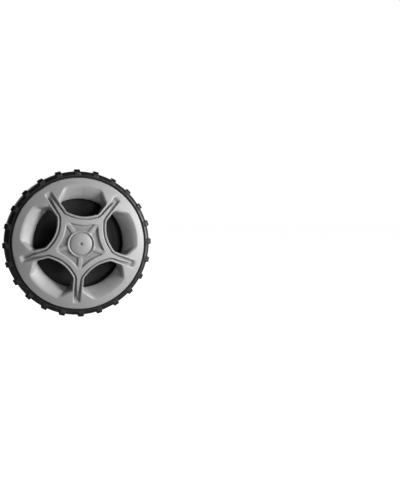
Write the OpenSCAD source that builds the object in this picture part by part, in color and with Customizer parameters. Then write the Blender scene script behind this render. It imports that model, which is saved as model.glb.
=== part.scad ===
// Mower wheel: a rubber tyre on a moulded wheel body, a clip-on five-spoke cover and two ball bearings.
// The wheel stands upright with its centre at the origin. Its axis is Y and its cover faces -Y.

/* [Tyre] */
// Diameter over the tread bars
tyre_d = 210; // [196:1:230]
// Width of the tyre
tyre_w = 45; // [42:1:52]
// Height of the rubber side from the rim lip to the tread
side_h = 8.1; // [7:0.1:11]
// Rounding of the tyre's shoulders
shoulder_r = 8.5; // [4:0.5:9]
// Height of a tread bar
bar_h = 2.9; // [1.5:0.1:4]
// Width of a tread bar at its top
bar_w = 6.8; // [5:0.1:10]
// Number of tread bars
bar_count = 24; // [18:1:28]
// Slant of the tread bars across the tread, in degrees
bar_slant = 0; // [-10:1:10]
// How far a bar reaches down the tyre's side
bar_drop = 5.6; // [2:0.1:7]
// How far the ends of a bar lie inside the tyre's width
bar_inset = 0.5; // [0.2:0.1:1.5]
// Length of a bar across the tread, from the front of the tyre
bar_len = 13; // [10:0.5:40]
// Width of the slope at the front end of a bar
bar_run = 7; // [4:0.5:9]
// Turn of the tread from having a bar straight down, in degrees
tread_turn = 1.2; // [-7.5:0.1:7.5]

/* [Wheel body] */
// Wall of the rim's barrel
rim_wall = 3; // [2:0.1:4.5]
// Height of the rim lips that hold the tyre
rim_lip_h = 2.5; // [1.5:0.1:3.5]
// Wall of the lip that stands round the cover
lip_wall = 1.4; // [1:0.1:2]
// Width of the seat that the cover lies on
seat_w = 5.9; // [4.5:0.1:7]
// Width of the trench between the rim and the disc
trench_w = 8.7; // [6:0.1:11]
// Depth of the trench below the edge of the disc
trench_d = 13; // [8:0.5:15]
// Number of ribs in the trench
trench_ribs = 20; // [12:1:24]
// Wall of the disc and of the well
disc_wall = 3; // [2:0.1:4]
// How much lower the disc is at its edge than at the well
disc_fall = 2; // [0:0.5:4]
// Space between the hub ring's tube and the wall of the well
well_gap = 7.3; // [5:0.1:10]
// Depth of the well below the front bearing's face
well_d = 8; // [6:0.5:10]
// Number of ribs in the well
well_ribs = 5; // [3:1:8]
// Thickness of the moulded ribs
rib_t = 1.6; // [1.2:0.1:2.4]
// Number of ribs behind the disc
back_ribs = 10; // [6:1:12]
// Height of the ribs behind the disc
back_rib_h = 10; // [5:0.5:12]

/* [Hub] */
// Wall of the hub round the bearings
hub_wall = 4.5; // [3.6:0.1:6]
// Width of the ledge round the front bearing
ledge_w = 3.5; // [2.5:0.1:4.5]
// Wall of the hub ring that carries the cover
ring_wall = 3; // [2:0.1:4]
// How far the hub ring stands in front of the disc
ring_proud = 7; // [6:0.5:9]
// How far the hub's back end stands behind the tyre
hub_proud = 1.5; // [0:0.1:4]
// How deep the bearings lie below the hub's two faces
bearing_inset = 1; // [0.5:0.1:2]
// Height of the shoulders that the bearings rest on
shoulder_h = 1.75; // [1.2:0.05:2.2]

/* [Cover] */
// Wall of the cover
cover_wall = 2.4; // [2:0.1:3]
// How far the cover's edge stands in front of the tyre
cover_proud = 2; // [0.5:0.1:3]
// Rise of the cover's dome from its edge to its middle
dome_rise = 13.5; // [9:0.5:16]
// Width of the flange outside the windows
flange_w = 10.3; // [9.5:0.1:13]
// Radius of the star plate at the middle of a window
plate_r = 38.3; // [36:0.1:42]
// Radius of the curve that a window has on the hub's side
plate_arc = 45; // [35:1:60]
// Width of a spoke over its two lips
spoke_w = 14.8; // [13:0.1:17]
// How far inside the flange a spoke starts to flare out
flare_run = 14.6; // [11:0.1:17]
// Half the angle that a window takes at the flange
flare_a = 17; // [14:0.5:20]
// How far the window walls lean inward from front to back
tunnel_run = 20.2; // [14:0.1:22]
// Depth of the window walls behind the flange
tunnel_d = 17; // [12:0.5:18]
// Turn of the cover from having a spoke straight down, in degrees
cover_turn = -4; // [-36:0.5:36]
// Wall of the tube that snaps on the hub ring
tube_wall = 2; // [1.5:0.1:2.5]
// Length of the tube's grip on the hub ring
tube_lap = 4; // [3.5:0.1:5]

/* [Cover relief] */
// Width of the lip round a window
lip_w = 2.2; // [1.5:0.1:3]
// Width of the groove inside the lip
groove_w = 2; // [1.2:0.1:2.6]
// Depth of the groove
groove_d = 1.4; // [0.6:0.1:1.6]
// Depth of the star round the boss
star_d = 1.1; // [0.6:0.1:1.4]
// Distance from a window to the side of the star
star_inset = 13; // [11:0.1:14]
// Width of the star's blunt points
star_tip_w = 8.6; // [6:0.1:10]
// Width of the ridges that run from the boss to the star's points
ridge_w = 7; // [4:0.1:9]
// Radius of the boss disc
boss_r = 15.2; // [13:0.1:16]
// Width of the ring groove round the boss
boss_groove_w = 2.1; // [1.2:0.1:2.4]
// Rise of the boss disc's own dome
boss_rise = 0.8; // [0.2:0.1:1.5]
// Radius of the dimple in the middle of the boss
dimple_r = 1.6; // [1:0.1:2.5]

/* [Bearings] */
// Bore of a bearing
bearing_bore = 8; // [7:0.5:9]
// Outer diameter of a bearing
bearing_od = 22; // [21:0.5:24]
// Width of a bearing
bearing_w = 7; // [6.5:0.5:8]
// Diameter of the balls
ball_d = 3.969; // [3.6:0.001:4.2]
// Number of balls in a bearing
ball_count = 7; // [5:1:8]
// Thickness of a shield
shield_t = 0.3; // [0.2:0.05:0.4]

/* [Fits] */
// Gap between the tyre and the rim
tyre_fit = 0.1; // [0.05:0.05:0.3]
// Gap round the cover's edge in its seat
cover_fit = 0.3; // [0.1:0.05:0.5]
// Gap between the cover's tube and the hub ring
tube_fit = 0.2; // [0.1:0.05:0.3]
// Gap round a bearing in its pocket
pocket_fit = 0.02; // [0.01:0.01:0.05]
// Running gap between a ball and its races
ball_fit = 0.06; // [0.02:0.01:0.1]
// Gap between the sleeve and the bearings' inner rings, and along the sleeve
sleeve_fit = 0.02; // [0.01:0.01:0.05]

/* [Hidden] */
BALLS = [for (i = [1:ball_count]) i];
$fn = 96;

// Heights are measured along the axis from the middle of the tyre towards the front of the wheel
half_w = tyre_w / 2;
tip_r = tyre_d / 2;
tread_r = tip_r - bar_h;
lip_r = tread_r - side_h;
seat_r = lip_r - lip_wall;
seat_in_r = seat_r - seat_w;
rim_r = lip_r - rim_lip_h;
rim_in_r = rim_r - rim_wall;
seat_t = 3;
key_w = 4;

// The cover's front is part of a ball, and its back edge lies on the seat
cover_r = seat_r - cover_fit;
edge_h = half_w + cover_proud;
seat_h = edge_h - cover_wall;
lip_h = edge_h - 1;
apex_h = edge_h + dome_rise;
dome_r = (cover_r * cover_r + dome_rise * dome_rise) / (2 * dome_rise);
function dome_h(r) = apex_h - dome_r + sqrt(dome_r * dome_r - r * r);
window_r = cover_r - flange_w;
tunnel_h = dome_h(window_r) - tunnel_d;
tunnel_r = window_r - tunnel_run;
tunnel_a = 23.5;
tunnel_flare = 8;
spoke_a = 36;
past = 5;

// The disc lies behind the window walls, and the hub ring stands out of the well in its middle
disc_h = tunnel_h - 5.2;
disc_r = seat_in_r - trench_w;
disc_edge_h = disc_h - disc_fall;
trench_h = disc_edge_h - trench_d;
ring_in_r = bearing_od / 2 + ledge_w;
ring_r = ring_in_r + ring_wall;
ring_h = disc_h + ring_proud;
ledge_h = disc_h - 3;
hub_r = bearing_od / 2 + hub_wall;
hub_h = -half_w - hub_proud;
tube_in_r = ring_r + tube_fit;
tube_r = tube_in_r + tube_wall;
tube_h = ring_h - tube_lap;
well_r = tube_r + well_gap;
well_h = ledge_h - well_d;
well_lip = 2.5;
disc_round = 3;

// Turn of each set of ribs, in degrees
well_rib_turn = 7;
trench_rib_turn = 4.5;
back_rib_turn = 18;

// The snaps inside the cover's tube, and the slots that part them
snap_w = 1.6;
snap_in = 0.6;
snap_h = tube_h + 0.9;
snap_fit = 0.3;
snap_a = 30;
slot_w = 2;
slot_d = 8;

// Both bearings lie bearing_inset below the faces of the hub
front_h = ledge_h - bearing_inset - bearing_w / 2;
rear_h = hub_h + bearing_inset + bearing_w / 2;
pocket_r = bearing_od / 2 + pocket_fit;
pitch_r = (bearing_bore + bearing_od) / 4;
ball_r = ball_d / 2;
race_r = ball_r + ball_fit;
land = 0.9 * ball_r;
inner_ring_r = pitch_r - land;
outer_ring_r = pitch_r + land;
shield_r = outer_ring_r + 0.45;
shield_inset = 0.35;
cage_t = 1.1;
cage_pocket_r = ball_r + 0.12;
cage_back = ball_r + 0.3;
cage_front = 0.45 * ball_r;

// Turns a piece drawn with its axis upright so that its top faces the front of the wheel
module face_front() {
    rotate([90, 0, 0]) children();
}

// Points on an arc round c from angle a0 to a1
function arc(c, r, a0, a1, n) =
    [for (i = [0:n]) let (a = a0 + (a1 - a0) * i / n) c + r * [cos(a), sin(a)]];

function unit(v) = v / norm(v);
function turn(a, p) = [p.x * cos(a) - p.y * sin(a), p.x * sin(a) + p.y * cos(a)];
function mirrored(pts) = [for (i = [len(pts) - 1:-1:0]) [pts[i].x, -pts[i].y]];

// Point where the line through p along d crosses the line through q along e
function meet(p, d, q, e) =
    p + d * ((q.x - p.x) * e.y - (q.y - p.y) * e.x) / (d.x * e.y - d.y * e.x);

// Arc of radius r that rounds the corner b between the points a and c
function rounded(a, b, c, r, n) =
    let (
        u = unit(a - b),
        v = unit(c - b),
        half = acos(u * v) / 2,
        middle = b + unit(u + v) * r / sin(half),
        p = b + u * r / tan(half) - middle,
        q = b + v * r / tan(half) - middle,
        a0 = atan2(p.y, p.x),
        sweep = atan2(p.x * q.y - p.y * q.x, p * q)
    ) arc(middle, r, a0, a0 + sweep, n);

// The same outline moved outward by d, with as many points
function grown(pts, d) =
    [for (i = [0:len(pts) - 1])
        let (
            n = len(pts),
            e = unit(pts[i] - pts[(i + n - 1) % n]),
            f = unit(pts[(i + 1) % n] - pts[i]),
            g = [e.y + f.y, -e.x - f.x]
        ) pts[i] + g * d / (1 + e * f)];

// Section of the rubber ring, which grips a rib and two lips on the rim
module tyre_section() {
    s = shoulder_r;
    difference() {
        polygon(concat(
            [[rim_r + tyre_fit, -half_w]],
            arc([tread_r - s, s - half_w], s, -90, 0, 6),
            arc([tread_r - s, half_w - s], s, 0, 90, 6),
            [[rim_r + tyre_fit, half_w]]));
        translate([0, seat_h - seat_t - tyre_fit]) square([lip_r + tyre_fit, tyre_w]);
        translate([0, -tyre_w - half_w + seat_t + tyre_fit]) square([lip_r + tyre_fit, tyre_w]);
        translate([0, -key_w / 2 - tyre_fit]) square([lip_r + tyre_fit, key_w + 2 * tyre_fit]);
    }
}

// Ring that the tread bars are cut from. It comes out of the front shoulder near the tyre's side,
// slopes off to the tips and ends within the tread, whose back part is smooth.
module bar_ring() {
    foot_r = tread_r - bar_drop;
    root_r = (lip_r + foot_r) / 2;
    flank_r = tread_r - bar_drop / 5;
    front = half_w - bar_inset;
    back = half_w - bar_len;
    rotate_extrude() polygon([
        [root_r, back - bar_h],
        [root_r, front - foot_r + root_r],
        [foot_r, front],
        [flank_r, front],
        [tip_r - bar_h / 4, half_w - bar_run / 2],
        [tip_r, half_w - bar_run],
        [tip_r, back],
        [flank_r, back - bar_h]]);
}

// One bar, steep on one flank and sloped on the other
module bar_prism() {
    deep = tip_r - lip_r;
    translate([tip_r + 1, 0, 0]) rotate([bar_slant, 0, 0])
        translate([0, 0, -tyre_w]) linear_extrude(2 * tyre_w) polygon([
            [0, -bar_w / 2],
            [0, bar_w / 2],
            [-deep, bar_w / 2 + 0.12 * deep],
            [-deep, -bar_w / 2 - 0.3 * deep]]);
}

module tyre() {
    color("#202022") face_front() {
        union() {
            rotate_extrude() tyre_section();
            intersection() {
                bar_ring();
                for (i = [0:bar_count - 1])
                    rotate([0, 0, tread_turn - 90 + i * 360 / bar_count]) bar_prism();
            }
        }
    }
}

// Section of the wheel body from the rim inward to the hub
module body_section() {
    barrel_w = seat_h + half_w;
    translate([rim_in_r, -half_w]) square([rim_wall, barrel_w]);
    translate([rim_in_r, -half_w]) square([lip_r - rim_in_r, seat_t]);
    translate([rim_in_r, -key_w / 2]) square([lip_r - rim_in_r, key_w]);
    translate([seat_in_r, seat_h - seat_t]) square([lip_r - seat_in_r, seat_t]);
    translate([seat_r, seat_h - seat_t]) square([lip_wall, lip_h - seat_h + seat_t]);
    translate([disc_r - disc_wall, trench_h - disc_wall])
        square([rim_in_r + 1 - disc_r + disc_wall, disc_wall]);
    polygon(concat(
        [[disc_r - disc_wall, trench_h - disc_wall], [disc_r, trench_h - disc_wall]],
        arc([disc_r - disc_round, disc_edge_h - disc_round], disc_round, 0, 80, 5),
        [[well_r + well_lip, disc_h], [well_r + well_lip, disc_h - disc_wall]],
        [[disc_r - disc_wall, disc_edge_h - disc_wall]]));
    translate([well_r + well_lip, disc_h - well_lip + 1]) circle(r = well_lip);
    translate([well_r, well_h - disc_wall])
        square([disc_wall, disc_h - well_lip + 1 - well_h + disc_wall]);
    translate([0, well_h - disc_wall]) square([well_r + 1, disc_wall]);
    translate([0, hub_h]) square([hub_r, ledge_h - hub_h]);
    translate([ring_in_r, well_h - 1]) square([ring_wall, ring_h - well_h + 1]);
}

// Space inside the hub: a pocket at each end and a narrower bore between them
module hub_bore() {
    deep = bearing_inset + bearing_w;
    translate([0, 0, ledge_h - deep]) cylinder(r = pocket_r, h = deep + 1);
    translate([0, 0, hub_h - 1]) cylinder(r = pocket_r, h = deep + 1);
    translate([0, 0, hub_h]) cylinder(r = pocket_r - shoulder_h, h = ledge_h - hub_h);
}

// Groove round the hub ring that the snaps of the cover's tube sit in
module snap_groove() {
    h = snap_w + 2 * snap_fit;
    translate([0, 0, snap_h - snap_fit]) difference() {
        cylinder(r = ring_r + 1, h = h);
        translate([0, 0, -1]) cylinder(r = tube_in_r - snap_in - snap_fit, h = h + 2);
    }
}

module wheel_body() {
    rib_top = tube_h - 1.5;
    back_rib_base = disc_edge_h - disc_wall - back_rib_h;
    color("#2b2b2d") face_front() difference() {
        union() {
            rotate_extrude() body_section();
            for (i = [0:well_ribs - 1])
                rotate([0, 0, well_rib_turn + i * 360 / well_ribs])
                    translate([ring_r - 1, -rib_t / 2, well_h - 1])
                        cube([well_r - ring_r + 2, rib_t, rib_top - well_h + 1]);
            for (i = [0:trench_ribs - 1])
                rotate([0, 0, trench_rib_turn + i * 360 / trench_ribs])
                    face_front() translate([0, 0, -rib_t / 2]) linear_extrude(rib_t) polygon([
                        [disc_r - 1, trench_h - 1],
                        [rim_in_r + 1, trench_h - 1],
                        [rim_in_r + 1, disc_edge_h + 3],
                        [disc_r - 1, disc_edge_h - 5]]);
            for (i = [0:back_ribs - 1])
                rotate([0, 0, back_rib_turn + i * 360 / back_ribs])
                    translate([hub_r - 1, -rib_t / 2, back_rib_base])
                        cube([disc_r - disc_wall - hub_r + 2, rib_t, back_rib_h + 0.5]);
        }
        hub_bore();
        snap_groove();
        for (i = [0:5])
            rotate([0, 0, i * 60]) translate([(pocket_r + ring_in_r) / 2, 0, ledge_h - 2])
                cylinder(r = ledge_w / 3.2, h = 3);
    }
}

// Half of a window's outline from the middle of the flange side to the middle of the hub side.
// The window points along +X. Its straight side runs beside a spoke and ends at the distance s,
// where the outline turns to meet the outer arc of radius r at the angle a.
function window_half(r, a, s, s_round, o_round) =
    let (
        spoke = [cos(spoke_a), sin(spoke_a)],
        side = [sin(spoke_a), -cos(spoke_a)] * spoke_w / 2,
        hub_c = [plate_r + plate_arc, 0],
        hub_a = 17,
        hub_end = hub_c + plate_arc * [-cos(hub_a), sin(hub_a)],
        corner = meet(hub_end, [sin(hub_a), cos(hub_a)], side, spoke),
        shoulder = s * spoke + side,
        outer = r * [cos(a), sin(a)]
    ) concat(
        arc([0, 0], r, 0, 0.7 * a, 3),
        rounded(r * [cos(0.7 * a), sin(0.7 * a)], outer, shoulder, o_round, 4),
        rounded(outer, shoulder, corner, s_round, 3),
        rounded(shoulder, corner, hub_end, 9, 3),
        arc(hub_c, plate_arc, 180 - hub_a, 180, 4));

function window_outline(half) =
    concat(half, mirrored([for (i = [1:len(half) - 2]) half[i]]));

window_front = window_outline(
    window_half(window_r, flare_a, window_r - flare_run, s_round = 6, o_round = 8));
window_back = window_outline(
    window_half(tunnel_r, tunnel_a, tunnel_r - tunnel_flare, s_round = 5, o_round = 7));

// Solid that fills a window from front to back, larger all round by wall. Its sides go straight back
// from the front and then lean inward along a curve, like the side of a bowl.
module window_fill(wall) {
    bowl_a = 50;
    steps = 4;
    back_h = tunnel_h - 0.3;
    bowl_h = dome_h(window_r) - 1 - back_h;
    rows = concat(
        [[apex_h + past, 0]],
        [for (i = [0:steps])
            let (a = bowl_a * i / steps)
            [back_h + bowl_h * (1 - sin(a) / sin(bowl_a)), (1 - cos(a)) / (1 - cos(bowl_a))]],
        [[tunnel_h - past, 1]]);
    n = len(window_front);
    pts = [for (row = rows)
        let (outline = window_front * (1 - row[1]) + window_back * row[1])
        each [for (p = grown(outline, wall)) [p.x, p.y, row[0]]]];
    last = len(rows) - 1;
    sides = [for (k = [0:last - 1], i = [0:n - 1])
        let (j = (i + 1) % n)
        each [[k * n + i, k * n + j, (k + 1) * n + j], [k * n + i, (k + 1) * n + j, (k + 1) * n + i]]];
    ends = [[for (i = [n - 1:-1:0]) i], [for (i = [0:n - 1]) last * n + i]];
    polyhedron(pts, concat(sides, ends), convexity = 4);
}

module at_windows() {
    for (i = [0:4]) rotate([0, 0, cover_turn - 90 + spoke_a + i * 72]) children();
}

// All that lies behind the cover's domed front, moved back by drop
module behind_dome(drop, r) {
    intersection() {
        translate([0, 0, apex_h - dome_r - drop]) sphere(r = dome_r, $fn = 240);
        translate([0, 0, -2 * tyre_w]) cylinder(r = r, h = 4 * tyre_w);
    }
}

// Outline of a five-pointed plate. Its sides follow the windows at the distance inset, and its arms
// have the half widths w0 at the root and w1 at the end, which lies at the radius end.
function star_outline(inset, w0, w1, end, root_round, end_round) =
    [for (k = [0:4]) each [for (p = concat(
        let (
            c = [plate_r + plate_arc, 0],
            r = plate_arc + inset,
            spoke = [cos(spoke_a), sin(spoke_a)],
            side = [sin(spoke_a), -cos(spoke_a)],
            tip = end * spoke + w1 * side,
            root = plate_r * spoke + w0 * side,
            past_tip = end * spoke,
            a = asin(min(0.9, (root_round + 6) / r)),
            hub_end = c + r * [-cos(a), sin(a)],
            corner = meet(hub_end, [sin(a), cos(a)], tip, unit(root - tip)),
            half = concat(
                arc(c, r, 180, 180 - a, 3),
                rounded(hub_end, corner, tip, root_round, 3),
                rounded(corner, tip, past_tip, end_round, 2))
        ) concat(mirrored([for (i = [1:len(half) - 1]) half[i]]), half)))
        turn(cover_turn - 90 + spoke_a + 72 * k, p)]];

// Column cut down to the depth d below the domed front
module relief(d) {
    difference() {
        translate([0, 0, tunnel_h]) linear_extrude(apex_h) children();
        behind_dome(d, cover_r + past);
    }
}

// Groove that runs round the windows' hub sides and along both sides of each spoke
module spoke_groove() {
    arm_w = spoke_w / 2 - lip_w;
    difference() {
        polygon(star_outline(lip_w, arm_w, arm_w - 0.3, window_r + 2.5, 8, 3));
        polygon(star_outline(lip_w + groove_w, arm_w - groove_w, 0.4, window_r - 6, 8, 0.2));
    }
}

// Star round the boss, parted into five pockets by ridges
module star_pockets() {
    w = star_tip_w / 2;
    difference() {
        polygon(star_outline(star_inset, w, w, plate_r - 5.8, 1, 1.2));
        circle(r = boss_r + boss_groove_w + 1);
        for (i = [0:4]) rotate(cover_turn - 90 + 72 * i)
            translate([0, -ridge_w / 2]) square([plate_r, ridge_w]);
    }
}

// Tube on the back of the cover with four snaps, parted by slots
module cover_tube() {
    difference() {
        translate([0, 0, tube_h]) difference() {
            cylinder(r = tube_r, h = dome_h(tube_r) - cover_wall / 2 - tube_h);
            translate([0, 0, -1]) cylinder(r = tube_in_r, h = dome_h(tube_r) - cover_wall - tube_h + 1);
        }
        for (a = [45, 135])
            rotate([0, 0, a]) translate([-2 * tube_r, -slot_w / 2, tube_h - 1])
                cube([4 * tube_r, slot_w, slot_d + 1]);
    }
    for (i = [0:3])
        rotate([0, 0, i * 90 - snap_a / 2]) translate([0, 0, snap_h]) rotate_extrude(angle = snap_a)
            polygon([
                [tube_in_r + 0.5, 0],
                [tube_in_r + 0.5, snap_w],
                [tube_in_r, snap_w],
                [tube_in_r - snap_in, snap_w - snap_in],
                [tube_in_r - snap_in, snap_in],
                [tube_in_r, 0]]);
}

// The cover's spokes and window walls reach back this far: shallow at the hub and deep at the flange
module skirt_room() {
    intersection() {
        behind_dome(cover_wall / 2, cover_r - 1);
        rotate_extrude() polygon([
            [plate_r - 12, apex_h],
            [plate_r - 12, dome_h(plate_r) - 7],
            [plate_r + 5, dome_h(plate_r) - 7],
            [tunnel_r - 9, tunnel_h],
            [cover_r, tunnel_h],
            [cover_r, apex_h]]);
    }
}

// Low ring on the back of the flange that drops inside the seat
module locating_ring() {
    r = seat_in_r - cover_fit;
    translate([0, 0, seat_h - 1.5]) difference() {
        cylinder(r = r, h = dome_h(r) - cover_wall / 2 - seat_h + 1.5);
        translate([0, 0, -1]) cylinder(r = r - 1.6, h = tyre_w);
    }
}

module wheel_cover() {
    boss_dome_r = (boss_r * boss_r + boss_rise * boss_rise) / (2 * boss_rise);
    color("#b9bbbd") face_front() difference() {
        union() {
            difference() {
                behind_dome(0, cover_r);
                behind_dome(cover_wall, cover_r + past);
            }
            intersection() {
                skirt_room();
                at_windows() window_fill(cover_wall);
            }
            cover_tube();
            locating_ring();
            intersection() {
                translate([0, 0, dome_h(boss_r) + boss_rise - boss_dome_r]) sphere(r = boss_dome_r);
                translate([0, 0, dome_h(boss_r) - 1]) cylinder(r = boss_r, h = past);
            }
        }
        at_windows() window_fill(0);
        relief(groove_d) spoke_groove();
        relief(star_d) star_pockets();
        relief(groove_d) difference() {
            circle(r = boss_r + boss_groove_w);
            circle(r = boss_r);
        }
        translate([0, 0, apex_h - 1]) cylinder(r = dimple_r, h = past);
    }
}

// Steel ring with its race and, on the outer one, a rebate at each side for the shields
module bearing_ring(r0, r1, is_outer) {
    rotate_extrude() difference() {
        translate([r0, -bearing_w / 2]) square([r1 - r0, bearing_w]);
        translate([pitch_r, 0]) circle(r = race_r);
        if (is_outer)
            for (s = [-1, 1])
                translate([0, s * (bearing_w / 2 - shield_inset - shield_t) - (s < 0 ? bearing_w : 0)])
                    square([shield_r, bearing_w]);
    }
}

module outer_ring() {
    color("#a9acb0") face_front() bearing_ring(outer_ring_r, bearing_od / 2, true);
}

module inner_ring() {
    color("#b4b7bb") face_front() bearing_ring(bearing_bore / 2, inner_ring_r, false);
}

// Thin steel washer pressed into the outer ring. side is 1 for the front one and -1 for the back one
module shield(side) {
    h = side * (bearing_w / 2 - shield_inset - shield_t / 2) - shield_t / 2;
    color("#3a3b3d") face_front() translate([0, 0, h]) difference() {
        cylinder(r = shield_r, h = shield_t);
        translate([0, 0, -1]) cylinder(r = inner_ring_r + 0.25, h = 2);
    }
}

module ball(i) {
    color("#c9ccd0") face_front() rotate([0, 0, 90 + (i - 1) * 360 / ball_count])
        translate([pitch_r, 0, 0]) sphere(r = ball_r);
}

// Moulded crown cage, open towards the middle of the wheel on one side. side is 1 or -1
module cage(side) {
    color("#8a6f45") face_front() rotate([side < 0 ? 180 : 0, 0, 0]) difference() {
        translate([0, 0, -cage_front]) difference() {
            cylinder(r = pitch_r + cage_t, h = cage_front + cage_back);
            translate([0, 0, -1]) cylinder(r = pitch_r - cage_t, h = cage_front + cage_back + 2);
        }
        for (i = BALLS)
            rotate([0, 0, side * (90 + (i - 1) * 360 / ball_count)]) translate([pitch_r, 0, 0])
                sphere(r = cage_pocket_r);
    }
}

module at_front() {
    translate([0, -front_h, 0]) children();
}

module at_rear() {
    translate([0, -rear_h, 0]) children();
}

// Steel tube that keeps the two inner rings apart
module spacer_sleeve() {
    low = rear_h + bearing_w / 2 + sleeve_fit;
    high = front_h - bearing_w / 2 - sleeve_fit;
    color("#9da0a4") face_front() translate([0, 0, low]) difference() {
        cylinder(r = inner_ring_r + 0.3, h = high - low);
        translate([0, 0, -1]) cylinder(r = bearing_bore / 2, h = high - low + 2);
    }
}

tyre();
wheel_body();
wheel_cover();
spacer_sleeve();
at_front() outer_ring();  // front_outer_ring
at_front() inner_ring();  // front_inner_ring
at_front() cage(1);  // front_cage
at_front() shield(1);  // front_outer_shield
at_front() shield(-1);  // front_inner_shield
for (i = BALLS) at_front() ball(i);
at_rear() outer_ring();  // rear_outer_ring
at_rear() inner_ring();  // rear_inner_ring
at_rear() cage(-1);  // rear_cage
at_rear() shield(-1);  // rear_outer_shield
at_rear() shield(1);  // rear_inner_shield
for (i = BALLS) at_rear() ball(i);
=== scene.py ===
import math

import bmesh
import bpy
import numpy as np
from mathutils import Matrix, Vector


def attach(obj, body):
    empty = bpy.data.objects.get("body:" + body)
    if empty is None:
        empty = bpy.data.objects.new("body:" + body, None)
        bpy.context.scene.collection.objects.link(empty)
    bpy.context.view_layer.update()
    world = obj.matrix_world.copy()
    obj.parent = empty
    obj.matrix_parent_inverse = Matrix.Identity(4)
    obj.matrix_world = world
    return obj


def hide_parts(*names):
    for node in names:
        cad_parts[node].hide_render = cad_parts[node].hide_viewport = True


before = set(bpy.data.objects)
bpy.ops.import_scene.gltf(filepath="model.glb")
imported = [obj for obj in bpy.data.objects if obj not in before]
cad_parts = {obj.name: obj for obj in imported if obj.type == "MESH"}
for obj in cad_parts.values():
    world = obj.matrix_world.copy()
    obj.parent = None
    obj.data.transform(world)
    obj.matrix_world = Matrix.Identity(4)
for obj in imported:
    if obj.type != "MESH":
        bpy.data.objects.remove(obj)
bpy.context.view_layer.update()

# Camera. The photograph looks at the wheel's cover from a little left of its axis and a little above
# it, and holds the wheel at the left of its upright frame.
camera = bpy.data.objects.new("camera", bpy.data.cameras.new("camera"))
bpy.context.scene.collection.objects.link(camera)
bpy.context.scene.camera = camera
camera_yaw, camera_pitch = -0.31784, 0.04671
ahead = Vector((
    -math.sin(camera_yaw) * math.cos(camera_pitch),
    math.cos(camera_yaw) * math.cos(camera_pitch),
    -math.sin(camera_pitch)))
camera.location = (-0.139041, -0.989326, 0.043619)
camera.rotation_mode = "QUATERNION"
camera.rotation_quaternion = ahead.to_track_quat("-Z", "Y")
camera.data.sensor_width = 36
camera.data.lens = 681.3 / 489 * 36
camera.data.clip_start = 0.05
bpy.context.scene.view_settings.view_transform = "Standard"


# Shader tools, first used by the floor.
class Wire:
    """A shader socket. Arithmetic on it makes Math nodes, and node() makes a node of any other kind."""

    def __init__(self, tree, socket):
        self.tree = tree
        self.socket = socket

    def node(self, kind, output, settings, sockets):
        made = self.tree.nodes.new("ShaderNode" + kind)
        for name, value in settings.items():
            setattr(made, name, value)
        for key, value in sockets.items():
            if isinstance(value, Wire):
                self.tree.links.new(value.socket, made.inputs[key])
            else:
                made.inputs[key].default_value = value
        return Wire(self.tree, made.outputs[output])

    def maths(self, operation, *values):
        return self.node("Math", 0, {"operation": operation}, dict(enumerate(values)))

    def __add__(self, other):
        return self.maths("ADD", self, other)

    def __radd__(self, other):
        return self.maths("ADD", other, self)

    def __sub__(self, other):
        return self.maths("SUBTRACT", self, other)

    def __rsub__(self, other):
        return self.maths("SUBTRACT", other, self)

    def __mul__(self, other):
        return self.maths("MULTIPLY", self, other)

    def __rmul__(self, other):
        return self.maths("MULTIPLY", other, self)

    def __truediv__(self, other):
        return self.maths("DIVIDE", self, other)

    def __rtruediv__(self, other):
        return self.maths("DIVIDE", other, self)

    def __pow__(self, other):
        return self.maths("POWER", self, other)

    def step(self, low, high):
        """0 below low and 1 above high, with a smooth rise between them."""
        return self.node("MapRange", "Result", {"interpolation_type": "SMOOTHSTEP"},
                         {"Value": self, "From Min": low, "From Max": high})

    def noise(self, size, detail=3.0, roughness=0.5):
        """Noise over these coordinates with features of about size metres, from 0 to 1."""
        return self.node("TexNoise", 0, {}, {"Vector": self, "Scale": 1 / size, "Detail": detail,
                                              "Roughness": roughness})

    def blend(self, low, high):
        """Colour that goes from low to high as this goes from 0 to 1."""
        return self.node("Mix", 2, {"data_type": "RGBA"}, {0: self, 6: low, 7: high})

    def part(self, axis):
        """One coordinate of this vector."""
        return self.node("SeparateXYZ", axis, {}, {0: self})


def surface(name, **sockets):
    """New material, its Principled shader with these sockets set, and the object's own coordinates."""
    material = bpy.data.materials.new(name)
    material.use_nodes = True
    tree = material.node_tree
    shader = tree.nodes["Principled BSDF"]
    for key, value in sockets.items():
        shader.inputs[key.replace("_", " ")].default_value = value
    return material, shader, Wire(tree, tree.nodes.new("ShaderNodeTexCoord").outputs["Object"])


def feed(shader, **sockets):
    """Links wires to the shader's sockets."""
    for key, wire in sockets.items():
        wire.tree.links.new(wire.socket, shader.inputs[key.replace("_", " ")])


def grey(level, tint=0.0):
    """Grey of this linear level, slightly bluish for a tint above 0."""
    return (level * (1 - tint), level, level * (1 + tint), 1)


# Floor: white paper under the wheel. It shows white, apart from the wheel's soft shadow.
floor_z = -0.105
sheet = bpy.data.meshes.new("floor")
sheet.from_pydata([(-5, -3, floor_z), (5, -3, floor_z), (5, 6, floor_z), (-5, 6, floor_z)], [], [(0, 1, 2, 3)])
floor = bpy.data.objects.new("floor", sheet)
bpy.context.scene.collection.objects.link(floor)
paper, paper_shader, _ = surface("floor_paper", Base_Color=grey(0.7), Roughness=0.9, Specular_IOR_Level=0.0)
paper_tree = paper.node_tree
seen = Wire(paper_tree, paper_tree.nodes.new("ShaderNodeLightPath").outputs["Is Camera Ray"])
paper_shader.inputs["Emission Strength"].default_value = 0.97
feed(paper_shader, Emission_Color=seen.blend(grey(0), grey(1)))
sheet.materials.append(paper)

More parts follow.
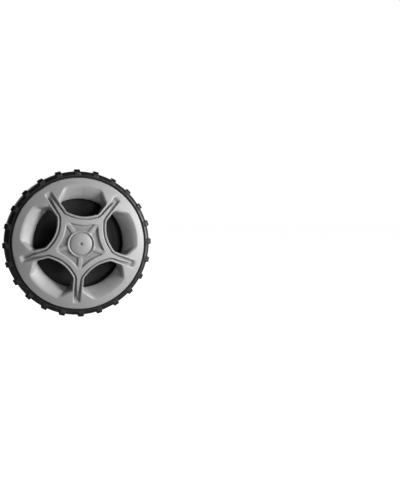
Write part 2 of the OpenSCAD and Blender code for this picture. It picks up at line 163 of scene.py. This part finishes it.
# Light: one large soft box at the right, a small one in front, and an even surround that shows white.
world = bpy.data.worlds.new("surround")
bpy.context.scene.world = world
world.use_nodes = True
world_tree = world.node_tree
backdrop = world_tree.nodes["Background"]
direct = Wire(world_tree, world_tree.nodes.new("ShaderNodeLightPath").outputs["Is Camera Ray"])
world_tree.links.new(direct.blend(grey(0.03), grey(1)).socket, backdrop.inputs["Color"])


def soft_box(name, place, size, watts):
    lamp = bpy.data.lights.new(name, "AREA")
    lamp.shape = "RECTANGLE"
    lamp.size, lamp.size_y = size
    lamp.energy = watts
    box = bpy.data.objects.new(name, lamp)
    bpy.context.scene.collection.objects.link(box)
    box.location = place
    box.rotation_mode = "QUATERNION"
    box.rotation_quaternion = (-Vector(place)).to_track_quat("-Z", "Y")


soft_box("key_light", (1.17, -0.75, 0.1), (0.36, 0.9), 29)
soft_box("back_light", (-0.5, 1.3, 0.9), (1.2, 1.0), 6)
soft_box("front_light", (0.6, -1.15, 0.1), (0.3, 0.5), 2.3)

# Tyre: one moulding of black rubber, pressed over the rim. Its 24 bars stand on the front half of the
# tread and run down its shoulder. Places on its section are a radius and a height in millimetres.
def even(corners, n, round_over=0):
    """n places evenly along a line through these corners, which are rounded over about this length."""
    corners = np.array(corners, float)
    gone = np.concatenate([[0], np.cumsum(np.linalg.norm(np.diff(corners, axis=0), axis=1))])
    fine = np.linspace(0, gone[-1], 400)
    line = np.column_stack([np.interp(fine, gone, corners[:, i]) for i in (0, 1)])
    if round_over:
        reach = np.minimum(np.minimum(np.arange(400), np.arange(399, -1, -1)), int(200 * round_over / gone[-1]))
        line = np.array([line[i - w:i + w + 1].mean(axis=0) for i, w in enumerate(reach)])
    return line[np.linspace(0, 399, n).astype(int)]


tread_r, shoulder_r, bar_rows = 102.1, 8.5, 34
bend = [(tread_r - shoulder_r + shoulder_r * math.cos(math.radians(a)), 14 + shoulder_r * math.sin(math.radians(a)))
        for a in range(70, -1, -5)]
front_side = [(91.6, 18.8), (91.8, 19), (94, 19), (94.1, 19.15), (94.1, 20.7), (94.2, 21.15), (94.5, 21.6), (95.0, 21.95),
              (95.7, 22.12), (96.2, 22.08)]
plain = even([(96.5, 22.0)] + bend + [(tread_r, 7.4)], bar_rows)
raised = even([(96.5, 22.0), (101, 22), (104.3, 19), (105, 15.5), (105, 9.5), (tread_r, 7.4)], bar_rows, 1.5)
rest = [(tread_r, 5), (tread_r, -4), (tread_r, -13)] + [(r, -h) for r, h in bend[::-1]] + [
    (95.3, -22.4), (94.4, -22.4), (94.1, -22.2), (94.1, -19.5), (94.0, -19.4), (91.7, -19.4), (91.6, -19.3),
    (91.6, -2.2), (91.7, -2.1), (94.0, -2.1), (94.1, -2.0), (94.1, 2.0), (94.0, 2.1), (91.7, 2.1), (91.6, 2.2)]
low_line = np.array(front_side + plain.tolist() + rest)
high_line = np.array(front_side + raised.tolist() + rest)
# One flank of a bar is steep and the other slopes
beside_bar = np.array([-13.6, -11.5, -9.5, -7.8, -6.6, -5.8, -5.4, -5.1, -4.8, -4.5, -4.2, -3.9, -3.6, -3.3, -3.0, -2.6, -1.8, -0.7,
                       0.7, 1.8, 2.4, 2.75, 3.0, 3.25, 3.5, 3.7, 3.9, 4.1, 4.3, 4.6, 5.1, 6.0, 7.6, 9.6, 11.6])
height = np.clip(np.minimum((5.1 + beside_bar) / 1.7, (4.35 - beside_bar) / 1.2), 0, 1)
height = height * height * (3 - 2 * height)
tyre_mesh = bmesh.new()
loops = []
for bar in range(24):
    for place, lift in zip(beside_bar, height):
        turn = math.radians(1.2 - 90 + 15 * bar + place / 27.2 * 15)
        section = low_line + (high_line - low_line) * lift
        loops.append([tyre_mesh.verts.new((r * math.cos(turn) / 1000, -h / 1000, r * math.sin(turn) / 1000))
                      for r, h in section])
for loop, following in zip(loops, loops[1:] + loops[:1]):
    for i in range(len(loop)):
        k = (i + 1) % len(loop)
        tyre_mesh.faces.new((loop[i], following[i], following[k], loop[k]))
bmesh.ops.recalc_face_normals(tyre_mesh, faces=tyre_mesh.faces)
for face in tyre_mesh.faces:
    face.smooth = True
print("tyre faces", len(tyre_mesh.faces))
tyre_data = bpy.data.meshes.new("tyre_rubber")
tyre_mesh.to_mesh(tyre_data)
tyre_mesh.free()
tyre = bpy.data.objects.new("tyre_rubber", tyre_data)
bpy.context.scene.collection.objects.link(tyre)
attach(tyre, "wheel")
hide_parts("tyre")
rubber, rubber_shader, on_tyre = surface("tyre_rubber", Specular_IOR_Level=0.7)
crumb = on_tyre.noise(0.0012, 4)
dust = on_tyre.noise(0.018, 5, 0.6).step(0.45, 0.75)
scuffed = on_tyre.node("NewGeometry", "Pointiness", {}, {}).step(0.53, 0.62) * on_tyre.noise(0.006, 4).step(0.35, 0.6)
feed(rubber_shader,
     Base_Color=(dust * 0.4 + crumb * 0.3 + scuffed * 0.3).blend(grey(0.003), grey(0.016, 0.02)),
     Roughness=0.42 + dust * 0.15 + crumb * 0.1,
     Normal=crumb.node("Bump", "Normal", {}, {"Strength": 0.5, "Distance": 0.00015, "Height": crumb}))
tyre_data.materials.append(rubber)

# Wheel body: one black moulding with rim, trench, disc, well and hub. Its skin has a fine grain.
body_plastic, body_shader, on_body = surface("body_plastic", Specular_IOR_Level=0.4)
skin = on_body.noise(0.0006, 2)
flow = on_body.noise(0.03, 3)
feed(body_shader,
     Base_Color=(flow * 0.7 + skin * 0.3).blend(grey(0.008), grey(0.022)),
     Roughness=0.42 + flow * 0.18,
     Normal=skin.node("Bump", "Normal", {}, {"Strength": 0.3, "Distance": 0.00015, "Height": skin}))
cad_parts["wheel_body"].data.materials.clear()
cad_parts["wheel_body"].data.materials.append(body_plastic)

# Cover: one moulding of silver plastic with five spokes, which clips on the hub ring and into the rim.
# All its sizes are in millimetres here. A point of it has a place across the wheel and a height
# towards the front. Each window points along +X while it is made, with a spoke at 36 degrees.
cover_r = 92.3
edge_h = 24.5
apex_h = 38.0
wall = 2.4
window_r = 80
plate_r = 38.3
plate_arc = 45.0
spoke_half = 7.4
spoke_angle = math.radians(36)
tunnel_h = 12.8
tunnel_r = 63.5
dome_r = (cover_r ** 2 + (apex_h - edge_h) ** 2) / (2 * (apex_h - edge_h))
along = np.array([math.cos(spoke_angle), math.sin(spoke_angle)])
across = np.array([math.sin(spoke_angle), -math.cos(spoke_angle)])
arc_centre = np.array([plate_r + plate_arc, 0.0])


def dome(r):
    """Height of the cover's domed front."""
    return apex_h - dome_r + np.sqrt(dome_r ** 2 - np.asarray(r) ** 2)


def smooth(x):
    """0 below 0 and 1 above 1, with a smooth rise between them."""
    x = np.clip(x, 0, 1)
    return x * x * (3 - 2 * x)


def polar(r, degrees):
    return np.array([r * math.cos(math.radians(degrees)), r * math.sin(math.radians(degrees))])


def lines_meet(p, d, q, e):
    return p + d * ((q[0] - p[0]) * e[1] - (q[1] - p[1]) * e[0]) / (d[0] * e[1] - d[1] * e[0])


def corner_arc(a, b, c, r, n):
    """Arc of radius r that rounds the corner b between a and c."""
    u = (a - b) / np.linalg.norm(a - b)
    v = (c - b) / np.linalg.norm(c - b)
    half = math.acos(u @ v) / 2
    middle = b + (u + v) / np.linalg.norm(u + v) * r / math.sin(half)
    p = b + u * r / math.tan(half) - middle
    q = b + v * r / math.tan(half) - middle
    sweep = math.atan2(p[0] * q[1] - p[1] * q[0], p @ q)
    start = math.atan2(p[1], p[0])
    return [middle + r * np.array([math.cos(start + sweep * i / n), math.sin(start + sweep * i / n)])
            for i in range(n + 1)]


def window_half(r, degrees, shoulder_at, shoulder_round, outer_round):
    """Half of a window's outline, from the middle of its flange side to the middle of its hub side."""
    outer = polar(r, degrees)
    shoulder = shoulder_at * along + spoke_half * across
    hub_turn = math.radians(17)
    hub_end = arc_centre + plate_arc * np.array([-math.cos(hub_turn), math.sin(hub_turn)])
    corner = lines_meet(hub_end, np.array([math.sin(hub_turn), math.cos(hub_turn)]), spoke_half * across, along)
    flange = [polar(r, a * degrees) for a in (0, 0.008, 0.02, 0.07, 0.14, 0.21, 0.28, 0.35, 0.42, 0.49, 0.56, 0.63, 0.7)]
    parts = [
        (flange, 3),
        (corner_arc(flange[-1], outer, shoulder, outer_round, 18), 9),
        (corner_arc(outer, shoulder, corner, shoulder_round, 22), 16),
        (corner_arc(shoulder, corner, hub_end, 9, 16), 3),
        ([arc_centre + plate_arc * np.array([-math.cos(hub_turn * a), math.sin(hub_turn * a)])
          for a in np.linspace(1, 0, 23)], 0)]
    points = []
    for i, (part, straight) in enumerate(parts):
        points += part
        if straight:
            start, end = part[-1], parts[i + 1][0][0]
            points += [start + (end - start) * k / straight for k in range(1, straight)]
    return np.array(points)


edge_line = window_half(window_r, 17.3, window_r - 13, 6, 8)
back_line = window_half(tunnel_r, 26.6, tunnel_r - 3.6, 3, 4)
run = np.gradient(edge_line, axis=0)
out = np.stack([-run[:, 1], run[:, 0]], axis=1)
out = -out / np.linalg.norm(out, axis=1)[:, None]
out[0] = (1, 0)
out[-1] = (-1, 0)


def border(boss):
    """Where each line that leaves the window's edge squarely meets the rim, the spoke's middle or the boss."""
    ends = []
    for p, n in zip(edge_line, out):
        b = p @ n
        reach = [-b + math.sqrt(b * b - p @ p + cover_r ** 2)]
        square = b * b - p @ p + boss ** 2
        if square > 0 and b < 0:
            reach.append(-b - math.sqrt(square))
        slope = n @ across
        if slope < 0:
            reach.append(-(p @ across) / slope)
        ends.append(p + n * min(t for t in reach if t > 0))
    ends = np.array(ends)
    for corner in (cover_r * along, boss * along):
        ends[np.argmin(np.linalg.norm(ends - corner, axis=1))] = corner
    return ends


def relief(p, d):
    """How far the front lies below the dome at the points p, which are d from the window's edge."""
    r = np.hypot(p[..., 0], p[..., 1])
    far = p @ along
    side = np.abs(p @ across)
    inset = np.where(far > 58, spoke_half - side, d)
    # The groove's outer edge follows the lip and ends round past the window
    end = np.maximum(np.stack([side - 2.2, far - 81.5], axis=-1), 0)
    box = 3 - np.hypot(end[..., 0], end[..., 1]) - np.minimum(np.maximum(side - 2.2, far - 81.5), 0)
    inside = np.where(far > 58, box, d - 2.2)
    # Its inner edge is the ridge, which narrows to a point
    share = np.clip((far - plate_r) / 37, 0, 1)
    ridge = 2.7 * (1 - share ** 2)
    beyond = np.maximum(far - plate_r - 37, 0)
    past_ridge = np.where(beyond > 0, np.hypot(side, beyond), spoke_half - inset - ridge)
    groove = (2.5 + 0.7 * smooth((far - 60) / 12)) * smooth(inside / (0.9 + 0.7 * smooth((far - 68) / 8)))
    groove *= smooth(past_ridge / 0.7 + 0.3)
    groove *= np.clip((84.2 - far) / 5.5, 0, 1)
    lip = (0.2 + 0.7 * np.clip(inset / 1.1 - 1, -1, 1) ** 2) * smooth((2.5 - inset) / 0.5) * (1 - smooth((r - 62) / 14))
    # A star round the boss has a rounded end on each spoke and a low ridge that runs to it
    hub_d = np.hypot(p[..., 0] - arc_centre[0], p[..., 1]) - plate_arc
    star = -np.log(np.exp(-np.clip(hub_d - 11.3, -9, 9)) + np.exp(-np.clip(34 - far, -9, 9)))
    ridge_top = 1 - smooth((side - 2.2) / 1.7)
    pocket = 2.6 * smooth(star / 1.6) * (1 - 0.55 * ridge_top)
    pocket *= smooth((r - 18.2) / 0.9)
    return groove + lip + pocket


front_boss, tube_r, tube_in_r = 18.0, 19.7, 17.7
front_end = border(front_boss)
back_end = border(tube_r)
base_r = np.hypot(edge_line[:, 0], edge_line[:, 1])
fillet = 0.9 + 2.6 * smooth((base_r - 62) / 16)
layers = []


def add_layer(points, heights):
    layers.append(np.column_stack([points, heights]))


# The front, from its border to the rounded edge of the window
reach = np.linalg.norm(front_end - edge_line, axis=1)
ray = (front_end - edge_line) / reach[:, None]
brow_place = edge_line + ray * fillet[:, None]
brow = dome(np.hypot(brow_place[:, 0], brow_place[:, 1])) - relief(brow_place, fillet)


def wall_place(h):
    """A window's wall starts as a shallow slope on the flange's side and rounds over into the opening."""
    left = np.clip((h - tunnel_h) / (brow - tunnel_h), 0, 1)
    return back_line + (edge_line - back_line) * left[:, None] ** 1.7


near = 5.0 + fillet - 0.9
b1 = np.minimum(12.4, near + 0.5 * (reach - near))
b2 = np.minimum(14.2, near + 0.6 * (reach - near))
steps = [reach + (b2 - reach) * k / 6 for k in range(6)]
steps += [b2 + (b1 - b2) * k / 5 for k in range(5)]
steps += [b1 + (near - b1) * k / 8 for k in range(8)]
steps += [x + fillet - 0.9 for x in (5.0, 4.7, 4.45, 4.2, 3.95, 3.6, 3.2, 2.95, 2.75, 2.55, 2.35, 2.15, 1.8, 1.35)]
for d in steps:
    p = edge_line + ray * d[:, None]
    add_layer(p, dome(np.hypot(p[:, 0], p[:, 1])) - relief(p, d))
for degrees in (90, 75, 60, 45, 30, 15, 0):
    d = fillet * (1 - math.cos(math.radians(degrees)))
    p = edge_line + ray * d[:, None]
    h = dome(np.hypot(p[:, 0], p[:, 1])) - relief(p, d) - fillet * (1 - math.sin(math.radians(degrees)))
    add_layer(p + wall_place(h) - edge_line, h)

# The window's wall, its back edge and its outer side
top = layers[-1][:, 2]
skirt = np.interp(np.hypot(back_line[:, 0], back_line[:, 1]),
                  [plate_r + 5, tunnel_r - 9], [dome(plate_r) - 7, tunnel_h])
seam = np.zeros(len(edge_line))
seam[0] = 0.22
for k in range(1, 12):
    h = top + (skirt + 0.7 - top) * k / 11
    add_layer(wall_place(h) + out * seam[:, None], h)
for across_wall, lift in ((0.15, 0.25), (0.5, 0), (0.85, 0.25)):
    add_layer(wall_place(skirt + lift) + out * wall * across_wall, skirt + lift)


def back_height(r):
    """Height of the cover's back, with the low ring that drops inside the seat."""
    ring = smooth((r - 84.8) / 0.5) * smooth((86.9 - r) / 0.5)
    return dome(r) - wall - 1.5 * ring - 1.6 * smooth((83.5 - r) / 3)


under = back_height(base_r + wall) - 0.5
for k in range(0, 6):
    h = skirt + 0.7 + (under - skirt - 0.7) * k / 5
    add_layer(wall_place(h) + out * wall, h)

# The back of the flange, spokes and plate
back_reach = np.linalg.norm(back_end - edge_line, axis=1)
back_ray = (back_end - edge_line) / back_reach[:, None]
for k in range(1, 10):
    d = wall + 0.5 + (back_reach - wall - 0.5) * (k - 1) / 8
    p = edge_line + back_ray * d[:, None]
    add_layer(p, back_height(np.hypot(p[:, 0], p[:, 1])))

grid = np.array(layers)
rows_n, lines_n = grid.shape[:2]


def spin(points, turns):
    """These points turned about the axis by an angle in degrees."""
    a = math.radians(turns)
    x, y = points[..., 0], points[..., 1]
    return np.stack([x * math.cos(a) - y * math.sin(a), x * math.sin(a) + y * math.cos(a), points[..., 2]], axis=-1)


def rings_inside(edge, profile):
    """Rings that carry the circle of points at the edge of a grid in towards the axis, along a profile."""
    unit = edge[:, :2] / np.hypot(edge[:, 0], edge[:, 1])[:, None]
    return np.array([edge] + [np.column_stack([unit * r, np.full(len(edge), h)]) for r, h in profile])


boss_h = float(dome(15.2)) - 0.6
front_profile = [(17.85, float(dome(17.8)) - 0.1), (17.5, float(dome(17.5)) - 0.4), (16.7, float(dome(17)) - 1.3),
                 (16.4, float(dome(16.7)) - 1.55), (15.9, float(dome(16)) - 1.65), (15.6, boss_h - 1.4),
                 (15.3, boss_h - 0.9), (14.9, boss_h - 0.55), (14.3, boss_h - 0.25), (13.5, boss_h - 0.02),
                 (12, boss_h + 0.34), (9, boss_h + 0.88), (6, boss_h + 1.22), (3.2, boss_h + 1.37),
                 (2.2, boss_h + 1.36), (1.9, boss_h + 1.1), (1.6, boss_h - 0.3), (1.2, boss_h - 0.9),
                 (0.5, boss_h - 1.1)]
tube_h = 8.2
back_profile = [(tube_r, 30), (tube_r, 20), (tube_r, tube_h + 0.4), (tube_r - 0.4, tube_h), (tube_in_r + 0.3, tube_h),
                (tube_in_r, tube_h + 0.3), (tube_in_r, 20), (tube_in_r, 33), (12, 34.8), (6, 35.4), (2, 35.5)]
cover_mesh = bmesh.new()


def add_grid(block, flip, closing=None):
    """Quads over a block of points, rows by columns, and a fan to a middle point where one is given."""
    made = [[cover_mesh.verts.new((p[0] / 1000, -p[2] / 1000, p[1] / 1000)) for p in row] for row in block]
    for i in range(len(made) - 1):
        for j in range(len(made[0]) - 1):
            quad = [made[i][j], made[i][j + 1], made[i + 1][j + 1], made[i + 1][j]]
            cover_mesh.faces.new(quad[::-1] if flip else quad)
    if closing is not None:
        middle = cover_mesh.verts.new((0, -closing / 1000, 0))
        for a, b in zip(made[-1], made[-1][1:]):
            cover_mesh.faces.new([a, middle, b] if flip else [a, b, middle])


front_ring = np.hypot(grid[0][:, 0], grid[0][:, 1]) < front_boss + 1e-6
back_ring = np.hypot(grid[-1][:, 0], grid[-1][:, 1]) < tube_r + 1e-6
rim_line = np.hypot(grid[0][:, 0], grid[0][:, 1]) > cover_r - 1e-6
boss_rings = rings_inside(grid[0][front_ring], front_profile)
tube_rings = rings_inside(grid[-1][back_ring], back_profile)
rim_top, rim_low = grid[0][rim_line], grid[-1][rim_line]
rim_rings = np.array([rim_top, rim_top * (1, 1, 0) + rim_low * (0, 0, 1)])
for window in range(5):
    for mirror in (1, -1):
        for block, middle in ((grid, None), (boss_rings, boss_h - 1.1), (tube_rings, 35.5), (rim_rings, None)):
            turned = spin(block * (1, mirror, 1), 14 + 72 * window)
            flip = (mirror < 0) != (block is grid or block is rim_rings and False)
            add_grid(turned, flip, middle)
bmesh.ops.remove_doubles(cover_mesh, verts=cover_mesh.verts, dist=2e-6)
bmesh.ops.recalc_face_normals(cover_mesh, faces=cover_mesh.faces)
open_edges = sum(len(e.link_faces) != 2 for e in cover_mesh.edges)
print("cover faces", len(cover_mesh.faces), "open edges", open_edges)
for face in cover_mesh.faces:
    face.smooth = True
cover_data = bpy.data.meshes.new("cover")
cover_mesh.to_mesh(cover_data)
cover_mesh.free()
cover = bpy.data.objects.new("cover", cover_data)
bpy.context.scene.collection.objects.link(cover)
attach(cover, "wheel")
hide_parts("wheel_cover")
silver, silver_shader, on_cover = surface("cover_silver", Metallic=0.12, Specular_IOR_Level=0.4)
radius = on_cover.node("VectorMath", "Value", {"operation": "LENGTH"}, {
    0: on_cover.node("VectorMath", 0, {"operation": "MULTIPLY"}, {0: on_cover, 1: (1, 0, 1)})})
sunk = on_cover.part(1) + (apex_h - dome_r) / 1000 + ((dome_r / 1000) ** 2 - radius * radius) ** 0.5
turn = on_cover.part(2).maths("ARCTAN2", on_cover.part(2), on_cover.part(0)) - math.radians(14)
beside = turn.maths("PINGPONG", turn, spoke_angle) * radius
parting = (1 - beside.step(0.0002, 0.0007)) * radius.step(0.058, 0.062) * (1 - radius.step(0.082, 0.086))
off_spoke = turn.maths("PINGPONG", turn + spoke_angle, spoke_angle) * radius
# Recess floors are the grooves and pocket floors sunk below the dome, weaker towards the spoke ends. They are made
# rougher and grainier, and the colour below darkens them as painted shade.
floors = sunk.step(0.0008, 0.0018) * (1 - radius.step(0.05, 0.06) * off_spoke.step(0.0052, 0.0062))
floors = floors * (1 - radius.step(0.082, 0.084)) * (1 - radius.step(0.062, 0.078) * 0.6)
grain = on_cover.noise(0.0013, 4, 0.7)
cloud = on_cover.noise(0.03, 4, 0.6)
# Sharp edges found by pointiness are lighter and a little rougher. This is partly edge wear and partly a painted
# highlight along the lips.
wear_and_painted_highlight = on_cover.node("NewGeometry", "Pointiness", {}, {}).step(0.52, 0.6) * on_cover.noise(0.008, 4).step(0.35, 0.6)
painted = (cloud * 0.6 + grain * 0.4).blend(grey(0.4), grey(0.49))
# Painted shade: the recess floors are darkened, more outside the star. The dark mould parting line down the middle of
# each window's wall is a real seam mark.
painted_shade_and_seam = ((floors * (0.4 + 0.35 * radius.step(0.034, 0.038)) + parting * 0.15) * (0.6 + grain * 0.8)).blend(painted, grey(0.13))
feed(silver_shader,
     Base_Color=wear_and_painted_highlight.blend(painted_shade_and_seam, grey(0.72)),
     Roughness=0.46 + cloud * 0.08 + wear_and_painted_highlight * 0.05 + floors * 0.15,
     Normal=grain.node("Bump", "Normal", {}, {
         "Strength": 0.6, "Distance": 0.00012, "Height": grain * (0.5 + floors * 1.6) - parting * 0.8}))
cover_data.materials.append(silver)

# Bearings: ground steel rings, pressed shields, moulded cages and polished balls.
steel, steel_shader, on_ring = surface("bearing_steel", Metallic=1.0, Base_Color=grey(0.5))
lathe = on_ring.node("VectorMath", 0, {"operation": "MULTIPLY"}, {0: on_ring, 1: (1, 12, 1)}).noise(0.0008, 2)
feed(steel_shader, Roughness=0.22 + lathe * 0.15)
shield, shield_shader, on_shield = surface("shield_steel", Metallic=0.8, Base_Color=grey(0.12))
feed(shield_shader, Roughness=0.35 + on_shield.noise(0.002) * 0.2)
cage, cage_shader, on_cage = surface("cage_plastic", Base_Color=(0.42, 0.33, 0.2, 1))
feed(cage_shader, Roughness=0.4 + on_cage.noise(0.002) * 0.2)
ball_steel, ball_shader, on_ball = surface("ball_steel", Metallic=1.0, Base_Color=grey(0.65))
feed(ball_shader, Roughness=0.08 + on_ball.noise(0.001) * 0.08)
for name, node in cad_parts.items():
    for part, finish in (("ring", steel), ("sleeve", steel), ("shield", shield), ("cage", cage), ("ball", ball_steel)):
        if part in name:
            node.data.materials.clear()
            node.data.materials.append(finish)
